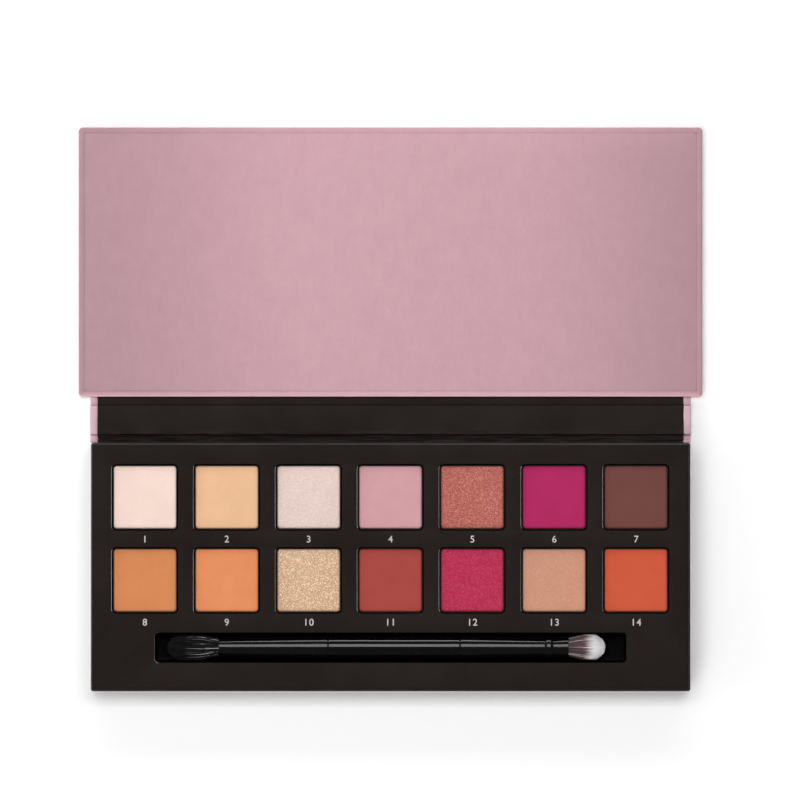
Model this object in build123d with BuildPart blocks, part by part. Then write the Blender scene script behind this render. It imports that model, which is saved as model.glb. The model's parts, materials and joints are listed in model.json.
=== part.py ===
"""Hardback-style eyeshadow palette, lying open: tray block, hinge strip, cover and brush.

Millimetres. +X runs along the palette, +Y from the tray towards the cover, +Z up.
The origin is the centre of the footprint of the open palette, on the surface it lies on.
"""
from build123d import *
import os

os.makedirs("parts", exist_ok=True)

# Cover materials
cloth_thickness = 0.3
liner_thickness = 0.3
strip_turn_in = 2.25
lid_turn_in = 1.8
bottom_board_thickness = 1.0
spine_board_thickness = 1.0
lid_board_thickness = 1.8
lid_corner_radius = 1.2

# Pans, and the card face around them
pan_columns = 7
pan_rows = 2
pan_side = 20.5
pan_corner_radius = 1.3
pan_wall = 0.3
pan_height = 4.0
pan_gap = 0.3
pan_recess = 0.9
powder_recess = 0.1
powder_edge_radius = 0.4
column_bar = 4.8
row_bar = 5.2
side_border = 6.6
rear_border = 6.6
groove_bar = 5.9
face_card_thickness = 0.5

# Tray walls and brush channel
wall_thickness = 2.0
wall_lip = 0.7
tray_corner_radius = 0.8
trough_wall = 0.5
groove_side_gap = 0.5
groove_corner_radius = 1.2
groove_left_gap = 3.7
groove_right_gap = 6.5

# Brush
handle_diameter = 7.6
handle_length = 41.9
left_ferrule_length = 34.6
right_ferrule_length = 34.3
left_tuft_length = 16.5
right_tuft_length = 11.8
tuft_width = 8.6
tuft_height = 7.2
left_ferrule_mouth = 6.4
right_ferrule_mouth = 7.2
crimp_diameter = 6.6
crimp_bead_diameter = 7.5
crimp_distance = 6.2
crimp_width = 1.6
ferrule_wall = 0.45
tenon_length = 12.0
root_length = 5.0
glue_gap = 0.05
brush_seat_gap = 0.15

# Closure
magnet_diameter = 6.0
magnet_thickness = 1.2
catch_plate_thickness = 1.0
catch_margin = 0.25
magnet_spacing = 120.0

# Hinge and closing clearances
side_overhang = 4.15
front_overhang = 5.0
closing_gap = 0.3
cloth_split = 0.2
lid_edge_gap = 0.3
spine_wall_clearance = 0.85
spine_fold_clearance = 0.6
spine_lid_clearance = 0.45
spine_side_margin = 0.5

# Heights
hinge_height = cloth_thickness / 2
board_top = cloth_thickness + bottom_board_thickness
groove_floor = board_top + trough_wall
groove_depth = max(handle_diameter, tuft_height) + 2 * brush_seat_gap
tray_top = groove_floor + groove_depth
card_bottom = tray_top - face_card_thickness
block_height = card_bottom - board_top
pan_top = tray_top - pan_recess
pan_bottom = pan_top - pan_height
lid_thickness = lid_board_thickness + 2 * cloth_thickness
spine_thickness = cloth_thickness + spine_board_thickness + liner_thickness

# Plan sizes of the tray
window_side = pan_side + 2 * pan_gap
window_corner_radius = pan_corner_radius + pan_gap
column_pitch = window_side + column_bar
row_pitch = window_side + row_bar
brush_length = (left_tuft_length + left_ferrule_length + handle_length
                + right_ferrule_length + right_tuft_length)
groove_length = brush_length + groove_left_gap + groove_right_gap
groove_width = max(handle_diameter, tuft_width) + 2 * groove_side_gap
pans_length = (pan_columns - 1) * column_pitch + window_side
tray_length = max(pans_length, groove_length + 2 * trough_wall) + 2 * side_border
pans_depth = (pan_rows - 1) * row_pitch + window_side
rail_depth = magnet_diameter + 2 * catch_margin
front_border = trough_wall + rail_depth + wall_thickness
tray_depth = rear_border + pans_depth + groove_bar + groove_width + front_border

# Hinge lines: the strip is as wide as the closed stack is high
tray_hinge_gap = spine_thickness - hinge_height + spine_wall_clearance
hinge_spacing = tray_top + closing_gap + lid_thickness - 2 * hinge_height
strip_depth = tray_hinge_gap + hinge_spacing + lid_edge_gap
lid_length = tray_length + 2 * side_overhang
lid_depth = tray_hinge_gap - lid_edge_gap + tray_depth + front_overhang
total_depth = tray_depth + strip_depth + lid_depth

tray_front = -total_depth / 2
tray_rear = tray_front + tray_depth
tray_centre = (tray_front + tray_rear) / 2
spine_hinge = tray_rear + tray_hinge_gap
lid_hinge = spine_hinge + hinge_spacing
lid_near = lid_hinge + lid_edge_gap
lid_centre = lid_near + lid_depth / 2
spine_board_near = spine_hinge + spine_fold_clearance
spine_board_far = lid_hinge - (lid_thickness - hinge_height) - spine_lid_clearance
spine_board_depth = spine_board_far - spine_board_near
spine_board_centre = (spine_board_near + spine_board_far) / 2
strip_length = tray_length + 2 * spine_side_margin

rear_row = tray_rear - rear_border - window_side / 2
groove_rear = tray_rear - rear_border - pans_depth - groove_bar
groove_centre = groove_rear - groove_width / 2
groove_front = groove_rear - groove_width
inner_half_length = tray_length / 2 - wall_thickness
card_length = tray_length - 2 * wall_lip
card_depth = tray_depth - 2 * wall_lip
trough_length = groove_length + 2 * trough_wall
trough_width = groove_width + 2 * trough_wall
pan_places = [
    ((column - (pan_columns - 1) / 2) * column_pitch, rear_row - row * row_pitch)
    for row in range(pan_rows)
    for column in range(pan_columns)
]


def save(piece, label):
    """Name a finished piece and write it to its own file."""
    piece.part.label = label
    export_step(piece.part, f"parts/{label}.step")


def box_at(length, depth, height, x, y, z):
    """Add a box centred on x and y, standing on z."""
    with Locations((x, y, z)):
        Box(length, depth, height, align=(Align.CENTER, Align.CENTER, Align.MIN))


# ---------------------------------------------------------------- tray block

# Cloth under the bottom board, up its front and side edges, and out to the first fold
base_cloth_depth = spine_hinge - cloth_split - tray_front
with BuildPart() as base_cloth:
    box_at(tray_length, base_cloth_depth, cloth_thickness, 0, tray_front + base_cloth_depth / 2, 0)
    box_at(tray_length, tray_depth, bottom_board_thickness, 0, tray_centre, cloth_thickness)
    with Locations((0, tray_centre + cloth_thickness / 2, cloth_thickness)):
        Box(tray_length - 2 * cloth_thickness, tray_depth - cloth_thickness, bottom_board_thickness,
            align=(Align.CENTER, Align.CENTER, Align.MIN), mode=Mode.SUBTRACT)
    front_corners = base_cloth.edges().filter_by(Axis.Z).group_by(Axis.Y)[0]
    fillet(front_corners, tray_corner_radius)
save(base_cloth, "base_cloth")

with BuildPart() as bottom_board:
    with BuildSketch(Plane.XY.offset(cloth_thickness)):
        with Locations((0, tray_centre + cloth_thickness / 2)):
            Rectangle(tray_length - 2 * cloth_thickness, tray_depth - cloth_thickness)
    extrude(amount=bottom_board_thickness)
save(bottom_board, "bottom_board")

# Walls: front and rear run the full length, the side walls stand between them.
# A lip round their top edge frames the card face.
side_wall_depth = tray_depth - 2 * wall_thickness
wall_height = tray_top - board_top


def cut_card_seat():
    """Take the card's seat out of the top of a wall."""
    with Locations((0, tray_centre, card_bottom)):
        Box(card_length, card_depth, face_card_thickness,
            align=(Align.CENTER, Align.CENTER, Align.MIN), mode=Mode.SUBTRACT)


for label, y, outer_group in (("tray_wall_front", tray_front + wall_thickness / 2, 0),
                              ("tray_wall_rear", tray_rear - wall_thickness / 2, -1)):
    with BuildPart() as long_wall:
        box_at(tray_length, wall_thickness, wall_height, 0, y, board_top)
        fillet(long_wall.edges().filter_by(Axis.Z).group_by(Axis.Y)[outer_group], tray_corner_radius)
        cut_card_seat()
    save(long_wall, label)
for label, side in (("tray_wall_left", -1), ("tray_wall_right", 1)):
    with BuildPart() as side_wall:
        box_at(wall_thickness, side_wall_depth, wall_height,
               side * (tray_length - wall_thickness) / 2, tray_centre, board_top)
        cut_card_seat()
    save(side_wall, label)

# Block with a blind pocket for each pan
bed_rear = tray_rear - wall_thickness
bed_front = groove_rear + trough_wall
with BuildPart() as pan_bed:
    box_at(2 * inner_half_length, bed_rear - bed_front, block_height,
           0, (bed_rear + bed_front) / 2, board_top)
    with BuildSketch(Plane.XY.offset(pan_bottom)):
        with Locations(*pan_places):
            RectangleRounded(window_side, window_side, window_corner_radius)
    extrude(amount=card_bottom - pan_bottom, mode=Mode.SUBTRACT)
save(pan_bed, "pan_bed")

# Moulded channel for the brush, open at the top
with BuildPart() as brush_trough:
    box_at(trough_length, trough_width, block_height, 0, groove_centre, board_top)
    with BuildSketch(Plane.XY.offset(groove_floor)):
        with Locations((0, groove_centre)):
            RectangleRounded(groove_length, groove_width, groove_corner_radius)
    extrude(amount=card_bottom - groove_floor, mode=Mode.SUBTRACT)
save(brush_trough, "brush_trough")

# Filler blocks beyond the ends of the channel
end_length = inner_half_length - trough_length / 2
for label, side in (("groove_end_left", -1), ("groove_end_right", 1)):
    with BuildPart() as groove_end:
        box_at(end_length, trough_width, block_height,
               side * (inner_half_length - end_length / 2), groove_centre, board_top)
    save(groove_end, label)

# Rail in front of the channel, with a pocket for each catch plate
rail_centre = tray_front + wall_thickness + rail_depth / 2
catch_places = [(-magnet_spacing / 2, rail_centre), (magnet_spacing / 2, rail_centre)]
with BuildPart() as front_rail:
    box_at(2 * inner_half_length, rail_depth, block_height, 0, rail_centre, board_top)
    with BuildSketch(Plane.XY.offset(card_bottom)):
        with Locations(*catch_places):
            Circle(magnet_diameter / 2)
    extrude(amount=-catch_plate_thickness, mode=Mode.SUBTRACT)
save(front_rail, "front_rail")

for label, place in zip(("catch_plate_left", "catch_plate_right"), catch_places):
    with BuildPart() as catch_plate:
        with BuildSketch(Plane.XY.offset(card_bottom)):
            with Locations(place):
                Circle(magnet_diameter / 2 - glue_gap)
        extrude(amount=-catch_plate_thickness)
    save(catch_plate, label)

# Card face with its windows and the brush slot
with BuildPart() as face_card:
    with BuildSketch(Plane.XY.offset(card_bottom)):
        with Locations((0, tray_centre)):
            Rectangle(card_length, card_depth)
        with Locations(*pan_places):
            RectangleRounded(window_side, window_side, window_corner_radius, mode=Mode.SUBTRACT)
        with Locations((0, groove_centre)):
            RectangleRounded(groove_length, groove_width, groove_corner_radius, mode=Mode.SUBTRACT)
    extrude(amount=face_card_thickness)
save(face_card, "face_card")

# Pans and pressed powders, numbered from the rear left corner
powder_side = pan_side - 2 * pan_wall
powder_corner_radius = pan_corner_radius - pan_wall
for number, place in enumerate(pan_places, start=1):
    with BuildPart() as pan:
        with BuildSketch(Plane.XY.offset(pan_bottom)):
            with Locations(place):
                RectangleRounded(pan_side, pan_side, pan_corner_radius)
        extrude(amount=pan_height)
        with BuildSketch(Plane.XY.offset(pan_bottom + pan_wall)):
            with Locations(place):
                RectangleRounded(powder_side, powder_side, powder_corner_radius)
        extrude(amount=pan_height, mode=Mode.SUBTRACT)
    save(pan, f"pan_{number:02d}")
    with BuildPart() as powder:
        with BuildSketch(Plane.XY.offset(pan_bottom + pan_wall)):
            with Locations(place):
                RectangleRounded(powder_side, powder_side, powder_corner_radius)
        extrude(amount=pan_height - pan_wall - powder_recess)
        chamfer(powder.faces().sort_by(Axis.Z)[-1].edges(), powder_edge_radius)
    save(powder, f"powder_{number:02d}")

# ---------------------------------------------------------------- hinge strip

# Cloth under the strip, from fold to fold, turned up and in at both ends of the board
spine_cloth_depth = hinge_spacing - 2 * cloth_split
with BuildPart() as spine_cloth:
    box_at(strip_length, spine_cloth_depth, cloth_thickness, 0, (spine_hinge + lid_hinge) / 2, 0)
    box_at(strip_length, spine_board_depth, spine_thickness, 0, spine_board_centre, 0)
    with Locations((0, spine_board_centre, cloth_thickness)):
        Box(strip_length - 2 * cloth_thickness, spine_board_depth, spine_board_thickness,
            align=(Align.CENTER, Align.CENTER, Align.MIN), mode=Mode.SUBTRACT)
    with Locations((0, spine_board_centre, cloth_thickness + spine_board_thickness)):
        Box(strip_length - 2 * strip_turn_in, spine_board_depth, liner_thickness,
            align=(Align.CENTER, Align.CENTER, Align.MIN), mode=Mode.SUBTRACT)
save(spine_cloth, "spine_cloth")

with BuildPart() as spine_board:
    box_at(strip_length - 2 * cloth_thickness, spine_board_depth, spine_board_thickness,
           0, spine_board_centre, cloth_thickness)
save(spine_board, "spine_board")

with BuildPart() as spine_liner:
    box_at(strip_length - 2 * strip_turn_in, spine_board_depth, liner_thickness,
           0, spine_board_centre, cloth_thickness + spine_board_thickness)
save(spine_liner, "spine_liner")

# ---------------------------------------------------------------- cover

lid_board_length = lid_length - 2 * cloth_thickness
lid_board_depth = lid_depth - 2 * cloth_thickness
lining_length = lid_length - 2 * lid_turn_in
lining_depth = lid_depth - 2 * lid_turn_in
board_corner_radius = lid_corner_radius - cloth_thickness
lid_board_top = cloth_thickness + lid_board_thickness
with BuildPart() as lid_cloth:
    with BuildSketch():
        with Locations((0, lid_centre)):
            RectangleRounded(lid_length, lid_depth, lid_corner_radius)
    extrude(amount=lid_thickness)
    with BuildSketch(Plane.XY.offset(cloth_thickness)):
        with Locations((0, lid_centre)):
            RectangleRounded(lid_board_length, lid_board_depth, board_corner_radius)
    extrude(amount=lid_board_thickness, mode=Mode.SUBTRACT)
    with BuildSketch(Plane.XY.offset(lid_board_top)):
        with Locations((0, lid_centre)):
            Rectangle(lining_length, lining_depth)
    extrude(amount=cloth_thickness, mode=Mode.SUBTRACT)
save(lid_cloth, "lid_cloth")

# The magnets meet the catch plates when the cover is folded shut
magnet_places = [(x, lid_hinge + spine_hinge - y) for x, y in catch_places]
with BuildPart() as lid_board:
    with BuildSketch(Plane.XY.offset(cloth_thickness)):
        with Locations((0, lid_centre)):
            RectangleRounded(lid_board_length, lid_board_depth, board_corner_radius)
    extrude(amount=lid_board_thickness)
    with BuildSketch(Plane.XY.offset(lid_board_top)):
        with Locations(*magnet_places):
            Circle(magnet_diameter / 2)
    extrude(amount=-magnet_thickness, mode=Mode.SUBTRACT)
save(lid_board, "lid_board")

with BuildPart() as lid_lining:
    box_at(lining_length, lining_depth, cloth_thickness, 0, lid_centre, lid_board_top)
save(lid_lining, "lid_lining")

for label, place in zip(("lid_magnet_left", "lid_magnet_right"), magnet_places):
    with BuildPart() as magnet:
        with BuildSketch(Plane.XY.offset(lid_board_top)):
            with Locations(place):
                Circle(magnet_diameter / 2 - glue_gap)
        extrude(amount=-magnet_thickness)
    save(magnet, label)

# ---------------------------------------------------------------- brush

brush_height = groove_floor + brush_seat_gap + max(handle_diameter, tuft_height) / 2
brush_left = -groove_length / 2 + groove_left_gap
left_mouth = brush_left + left_tuft_length
handle_left = left_mouth + left_ferrule_length
handle_right = handle_left + handle_length
right_mouth = handle_right + right_ferrule_length
brush_right = right_mouth + right_tuft_length
brush_plane = Plane(origin=(0, groove_centre, brush_height))
brush_axis = Axis((0, groove_centre, brush_height), (1, 0, 0))
handle_radius = handle_diameter / 2
collar_radius = handle_radius + glue_gap
crimp_radius = crimp_diameter / 2
left_root_radius = left_ferrule_mouth / 2 - ferrule_wall
right_root_radius = crimp_radius - ferrule_wall
crimp_centre = right_mouth - crimp_distance
crimp_start = crimp_centre - crimp_width


def socket_radius(wide, narrow, taper_length):
    """Bore for a tenon that leaves the ferrule's wall whole where the taper is thinnest."""
    taper = (wide - narrow) / taper_length
    return wide - taper * (tenon_length + glue_gap) - ferrule_wall


left_socket_radius = socket_radius(handle_radius, left_ferrule_mouth / 2, left_ferrule_length)
right_socket_radius = socket_radius(collar_radius, crimp_radius, crimp_start - handle_right)
left_tenon_radius = left_socket_radius - glue_gap
right_tenon_radius = right_socket_radius - glue_gap

# Lacquered handle with a stepped tenon at each end
with BuildPart() as brush_handle:
    with BuildSketch(brush_plane):
        Polygon(
            (handle_left - tenon_length, 0), (handle_left - tenon_length, left_tenon_radius),
            (handle_left, left_tenon_radius), (handle_left, handle_radius),
            (handle_right, handle_radius), (handle_right, right_tenon_radius),
            (handle_right + tenon_length, right_tenon_radius), (handle_right + tenon_length, 0),
            align=None)
    revolve(axis=brush_axis)
save(brush_handle, "brush_handle")

# Plain tapered ferrule, bored for the tenon at one end and for the tuft at the other
left_tenon_seat = handle_left - tenon_length - glue_gap
left_root_seat = left_mouth + root_length + glue_gap
with BuildPart() as ferrule_left:
    with BuildSketch(brush_plane):
        Polygon(
            (left_mouth, 0), (left_mouth, left_ferrule_mouth / 2),
            (handle_left, handle_radius), (handle_left, 0),
            align=None)
    revolve(axis=brush_axis)
    with BuildSketch(brush_plane):
        with Locations(((left_tenon_seat + handle_left) / 2, left_socket_radius / 2)):
            Rectangle(handle_left - left_tenon_seat, left_socket_radius)
        with Locations(((left_mouth + left_root_seat) / 2, left_root_radius / 2)):
            Rectangle(left_root_seat - left_mouth, left_root_radius)
    revolve(axis=brush_axis, mode=Mode.SUBTRACT)
save(ferrule_left, "ferrule_left")

# Crimped ferrule: a bead between two grooves, then a slightly flared mouth
right_tenon_seat = handle_right + tenon_length + glue_gap
right_root_seat = right_mouth - root_length - glue_gap
with BuildPart() as ferrule_right:
    with BuildSketch(brush_plane):
        Polygon(
            (handle_right, 0), (handle_right, collar_radius),
            (crimp_start, crimp_radius),
            (crimp_centre - crimp_width / 4, crimp_bead_diameter / 2),
            (crimp_centre + crimp_width / 4, crimp_bead_diameter / 2),
            (crimp_centre + crimp_width, crimp_radius),
            (right_mouth, right_ferrule_mouth / 2), (right_mouth, 0),
            align=None)
    revolve(axis=brush_axis)
    with BuildSketch(brush_plane):
        with Locations(((handle_right + right_tenon_seat) / 2, right_socket_radius / 2)):
            Rectangle(right_tenon_seat - handle_right, right_socket_radius)
        with Locations(((right_root_seat + right_mouth) / 2, right_root_radius / 2)):
            Rectangle(right_mouth - right_root_seat, right_root_radius)
    revolve(axis=brush_axis, mode=Mode.SUBTRACT)
save(ferrule_right, "ferrule_right")


def tuft_plane(x):
    """Cross-section plane of the brush at x, with its first axis along Y."""
    return Plane(origin=(x, groove_centre, brush_height), x_dir=(0, 1, 0), z_dir=(1, 0, 0))


# Each tuft is widest near its tip and is rooted in its ferrule.
# A section is its distance along the tuft, then its width and height, as shares of the full size.
left_sections = [
    (0.0, 0.68, 0.78), (0.45, 0.92, 0.97), (0.72, 1.0, 1.0), (0.92, 0.80, 0.80), (1.0, 0.45, 0.45)]
right_sections = [
    (0.0, 0.78, 0.92), (0.55, 1.0, 1.0), (0.75, 0.95, 0.95), (0.92, 0.70, 0.70), (1.0, 0.36, 0.36)]
tufts = (
    ("bristles_left", left_mouth, -1, left_tuft_length, left_root_radius, left_sections),
    ("bristles_right", right_mouth, 1, right_tuft_length, right_root_radius, right_sections),
)
for label, mouth, side, length, root_radius, sections in tufts:
    with BuildPart() as tuft:
        for along, width_share, height_share in sections:
            with BuildSketch(tuft_plane(mouth + side * along * length)):
                Ellipse(width_share * tuft_width / 2, height_share * tuft_height / 2)
        loft(ruled=True)
        with BuildSketch(tuft_plane(mouth)):
            Circle(root_radius - glue_gap)
        extrude(amount=-side * root_length)
    save(tuft, label)

print("tray", round(tray_length, 2), round(tray_depth, 2), round(tray_top, 2))
print("hinges", round(spine_hinge, 3), round(lid_hinge, 3), "at height", hinge_height)
print("cover", round(lid_length, 2), round(lid_depth, 2), "all", round(total_depth, 2))
print("groove", round(groove_rear, 3), round(groove_front, 3), round(groove_length / 2, 3))
print("brush", round(brush_left, 3), round(brush_right, 3), round(brush_height, 3))
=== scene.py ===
import json
import math
import random

import bmesh
import bpy
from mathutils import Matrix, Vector, noise


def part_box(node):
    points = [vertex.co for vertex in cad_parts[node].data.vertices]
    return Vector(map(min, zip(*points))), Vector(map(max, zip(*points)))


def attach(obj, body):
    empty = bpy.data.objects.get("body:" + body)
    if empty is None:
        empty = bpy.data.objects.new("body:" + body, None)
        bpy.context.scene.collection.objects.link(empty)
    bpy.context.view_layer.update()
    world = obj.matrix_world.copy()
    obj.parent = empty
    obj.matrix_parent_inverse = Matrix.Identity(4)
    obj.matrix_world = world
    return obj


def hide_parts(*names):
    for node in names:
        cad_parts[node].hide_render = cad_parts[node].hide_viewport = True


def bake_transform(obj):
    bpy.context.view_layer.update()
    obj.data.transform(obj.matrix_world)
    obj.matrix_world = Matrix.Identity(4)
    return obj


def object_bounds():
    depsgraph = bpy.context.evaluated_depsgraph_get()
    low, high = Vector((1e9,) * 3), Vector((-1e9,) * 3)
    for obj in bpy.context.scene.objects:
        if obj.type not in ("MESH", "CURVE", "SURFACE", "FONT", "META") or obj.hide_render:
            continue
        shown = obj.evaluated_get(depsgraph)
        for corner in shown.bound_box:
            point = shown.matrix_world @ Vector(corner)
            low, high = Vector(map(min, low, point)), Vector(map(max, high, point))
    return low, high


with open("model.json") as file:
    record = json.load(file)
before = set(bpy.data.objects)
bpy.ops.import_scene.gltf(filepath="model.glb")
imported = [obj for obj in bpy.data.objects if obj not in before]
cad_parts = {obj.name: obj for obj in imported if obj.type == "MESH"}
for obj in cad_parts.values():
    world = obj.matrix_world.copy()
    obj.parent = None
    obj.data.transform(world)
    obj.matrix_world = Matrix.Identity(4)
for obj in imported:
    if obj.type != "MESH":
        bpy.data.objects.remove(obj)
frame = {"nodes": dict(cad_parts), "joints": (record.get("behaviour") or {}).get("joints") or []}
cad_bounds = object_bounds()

# ---------------------------------------------------------------- studio
# The open palette lies on a white table. A long softbox hangs over it, a little behind, with a low
# strip further back. Broad ones at the left and the front left fill it, in a dim room.
MM = 0.001
cad_low, cad_high = cad_bounds
picture_share = 1.284        # width of the picture, as a share of the palette's length
view_width = (cad_high.x - cad_low.x) * picture_share
view_centre = Vector((3.0 * MM, 2.8 * MM, 0))
camera_data = bpy.data.cameras.new("overhead_camera")
camera_data.lens = 300
camera_data.sensor_width = 36
camera_data.clip_end = 100
camera = bpy.data.objects.new("overhead_camera", camera_data)
bpy.context.collection.objects.link(camera)
camera_height = view_width * camera_data.lens / camera_data.sensor_width
camera.location = view_centre + Vector((0, 0, camera_height))
bpy.context.scene.camera = camera
bpy.context.scene.view_settings.view_transform = "Standard"


def softbox(name, place, aim, width, depth, brightness):
    """A rectangular lamp at place, facing aim, whose face has the given brightness."""
    lamp = bpy.data.lights.new(name, "AREA")
    lamp.shape = "RECTANGLE"
    lamp.size = width
    lamp.size_y = depth
    lamp.energy = brightness * math.pi * width * depth
    holder = bpy.data.objects.new(name, lamp)
    bpy.context.collection.objects.link(holder)
    holder.location = place
    holder.rotation_euler = (Vector(aim) - Vector(place)).to_track_quat("-Z", "Y").to_euler()
    holder.visible_camera = False
    return holder


palette_middle = (0, 0, 0)
softbox("overhead_softbox", (0, 0.35, 1.2), palette_middle, 1.5, 0.54, 4.0)
softbox("rear_strip", (0, 1.10, 0.49), palette_middle, 1.5, 0.20, 6.0)
# The front left one would draw a second bright line along the brush, so it isn't reflected.
front_left = softbox("front_left_softbox", (-1.1, -1.9, 1.7), palette_middle, 1.8, 1.8, 3.0)
front_left.visible_glossy = False
softbox("left_softbox", (-2.5, -0.1, 0.84), palette_middle, 1.6, 0.6, 5.5)


def connect(tree, node, inputs):
    """Set each named input of a node to a value, or link it to another node's output."""
    for name, value in inputs.items():
        if isinstance(value, bpy.types.NodeSocket):
            tree.links.new(value, node.inputs[name])
        else:
            node.inputs[name].default_value = value


def add_node(tree, kind, inputs=None, **settings):
    """A new node with its settings, and then its inputs."""
    node = tree.nodes.new(kind)
    for setting, value in settings.items():
        setattr(node, setting, value)
    connect(tree, node, inputs or {})
    return node


world = bpy.data.worlds.new("studio_air")
bpy.context.scene.world = world
world.use_nodes = True
air = world.node_tree
direction = add_node(air, "ShaderNodeTexCoord").outputs["Generated"]
height = add_node(air, "ShaderNodeSeparateXYZ", {"Vector": direction}).outputs["Z"]
dimmer_above = add_node(air, "ShaderNodeMapRange", {
    "Value": height, "From Min": 0.06, "From Max": 0.34, "To Min": 0.8, "To Max": 0.1})
connect(air, air.nodes["Background"], {
    "Strength": dimmer_above.outputs["Result"], "Color": (1, 1, 1, 1)})

table_mesh = bpy.data.meshes.new("table")
table_half = 30.0
corners = [(side_x * table_half, side_y * table_half, 0)
           for side_x, side_y in ((-1, -1), (1, -1), (1, 1), (-1, 1))]
table_mesh.from_pydata(corners, [], [(0, 1, 2, 3)])
table = bpy.data.objects.new("table", table_mesh)
bpy.context.collection.objects.link(table)
table.location.z = -0.02 * MM
table_material = bpy.data.materials.new("table_white")
table_material.use_nodes = True
connect(table_material.node_tree, table_material.node_tree.nodes["Principled BSDF"], {
    "Base Color": (0.97, 0.97, 0.97, 1), "Roughness": 0.9, "Specular IOR Level": 0.1,
    "Emission Color": (1, 1, 1, 1), "Emission Strength": 0.08})
table_mesh.materials.append(table_material)

# ---------------------------------------------------------------- bottom board and its cloth
# A greyboard panel under the tray, wrapped in dusty-rose short-pile velour. The cloth is glued
# under it and turned up round its front and side edges, where the tray block hides its end.


def extents(node):
    """Lowest and highest corner of a node, as six numbers: x, y, z low, then x, y, z high."""
    low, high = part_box(node)
    return (*low, *high)


def in_group(name, outputs):
    """A new shader node group: itself, its Scale input and the node of its named value outputs."""
    group = bpy.data.node_groups.new(name, "ShaderNodeTree")
    scale = group.interface.new_socket("Scale", in_out="INPUT", socket_type="NodeSocketFloat")
    scale.default_value = 1.0
    for output in outputs:
        group.interface.new_socket(output, in_out="OUTPUT", socket_type="NodeSocketFloat")
    scale_output = group.nodes.new("NodeGroupInput").outputs["Scale"]
    return group, scale_output, group.nodes.new("NodeGroupOutput")


def scaled_place(tree, scale_output, stretch):
    """Object coordinates times the group's scale, stretched along each axis."""
    place = add_node(tree, "ShaderNodeTexCoord").outputs["Object"]
    stretched = add_node(tree, "ShaderNodeVectorMath", {0: place, 1: stretch}, operation="MULTIPLY")
    scaled = add_node(tree, "ShaderNodeVectorMath",
                      {0: stretched.outputs["Vector"], "Scale": scale_output}, operation="SCALE")
    return scaled.outputs["Vector"]


def add_noise(tree, vector, scale, detail, roughness):
    """The value of a noise texture on the given coordinates."""
    return add_node(tree, "ShaderNodeTexNoise", {
        "Vector": vector, "Scale": scale, "Detail": detail, "Roughness": roughness}).outputs["Fac"]


def combine(tree, operation, first, second):
    """One math node; each operand is a number or another node's output."""
    return add_node(tree, "ShaderNodeMath", {0: first, 1: second},
                    operation=operation).outputs["Value"]


def stretch_range(tree, value, low, high, new_low=0.0, new_high=1.0, curve="LINEAR"):
    """Spread the part of a value between low and high over a new range."""
    return add_node(tree, "ShaderNodeMapRange", {
        "Value": value, "From Min": low, "From Max": high, "To Min": new_low,
        "To Max": new_high}, interpolation_type=curve).outputs["Result"]


# Textures are laid out in millimetres, so a noise scale is its features per millimetre.
PER_MM = (1000, 1000, 1000)

# Short pile: patches where the nap lies differently, faint streaks along the brushing direction,
# a fine fibre grain, and painted light: a lighter middle falling off to painted shade at both ends.
pile_group, pile_scale, pile_out = in_group("velour_pile", ("Nap", "Fibre", "Painted_Light", "Height"))
pile_even = scaled_place(pile_group, pile_scale, PER_MM)
pile_long = scaled_place(pile_group, pile_scale, (1000, 300, 1000))
patches = add_noise(pile_group, pile_even, 0.16, 4.0, 0.7)
streaks = add_noise(pile_group, pile_long, 0.45, 3.0, 0.7)
fibres = add_noise(pile_group, pile_long, 3.2, 4.0, 0.75)
nap = combine(pile_group, "ADD", combine(pile_group, "MULTIPLY", patches, 0.6),
              combine(pile_group, "MULTIPLY", streaks, 0.4))
# Painted light along X, in millimetres: its middle, how far either side it stays full, and where
# painted shade is full.
painted_light_middle, fully_lit_reach, painted_shade_reach = 8.0, 28, 108      # where, then how far either side of it, along X
along_x = add_node(pile_group, "ShaderNodeSeparateXYZ", {"Vector": pile_even}).outputs["X"]
past_light_middle = combine(pile_group, "SUBTRACT", along_x, painted_light_middle)
from_light_middle = combine(pile_group, "ABSOLUTE", past_light_middle, 0.0)
connect(pile_group, pile_out, {
    "Nap": stretch_range(pile_group, nap, 0.35, 0.65),
    "Fibre": stretch_range(pile_group, fibres, 0.3, 0.7),
    "Painted_Light": stretch_range(pile_group, from_light_middle, painted_shade_reach, fully_lit_reach, curve="SMOOTHSTEP"),
    "Height": fibres})


def new_finish(name, roughness, specular=0.5, metallic=0.0):
    """A material whose Principled shader has these even values."""
    finish = bpy.data.materials.new(name)
    finish.use_nodes = True
    shader = finish.node_tree.nodes["Principled BSDF"]
    connect(finish.node_tree, shader, {
        "Roughness": roughness, "Specular IOR Level": specular, "Metallic": metallic})
    return finish, finish.node_tree, shader


def use_group(tree, group, scale):
    """The outputs of a node group, placed in a material at the given scale."""
    return add_node(tree, "ShaderNodeGroup", {"Scale": scale}, node_tree=group).outputs


def mix_colours(tree, amount, first, second):
    """A colour between two, by a value; each is a colour tuple or another node's output."""
    colours = [(*value, 1) if isinstance(value, tuple) else value for value in (first, second)]
    return add_node(tree, "ShaderNodeMix", {"Factor": amount, "A": colours[0], "B": colours[1]},
                    data_type="RGBA").outputs["Result"]


def tone_by(tree, shader, mask, first, second):
    """Let a mask choose the shader's colour between two tones."""
    tree.links.new(mix_colours(tree, mask, first, second), shader.inputs["Base Color"])


def roughen_by(tree, shader, mask, low, high):
    """Let a mask choose the shader's roughness between two values."""
    tree.links.new(stretch_range(tree, mask, 0.0, 1.0, low, high), shader.inputs["Roughness"])


def add_bump(tree, shader, height, distance, strength=1.0):
    """Relief of the given depth, in metres, from a height value."""
    relief = add_node(tree, "ShaderNodeBump", {
        "Distance": distance, "Strength": strength, "Height": height})
    tree.links.new(relief.outputs["Normal"], shader.inputs["Normal"])


def attribute(tree, name):
    """The value that a mesh's attribute has at each place."""
    return add_node(tree, "ShaderNodeAttribute", attribute_name=name).outputs["Fac"]


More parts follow.
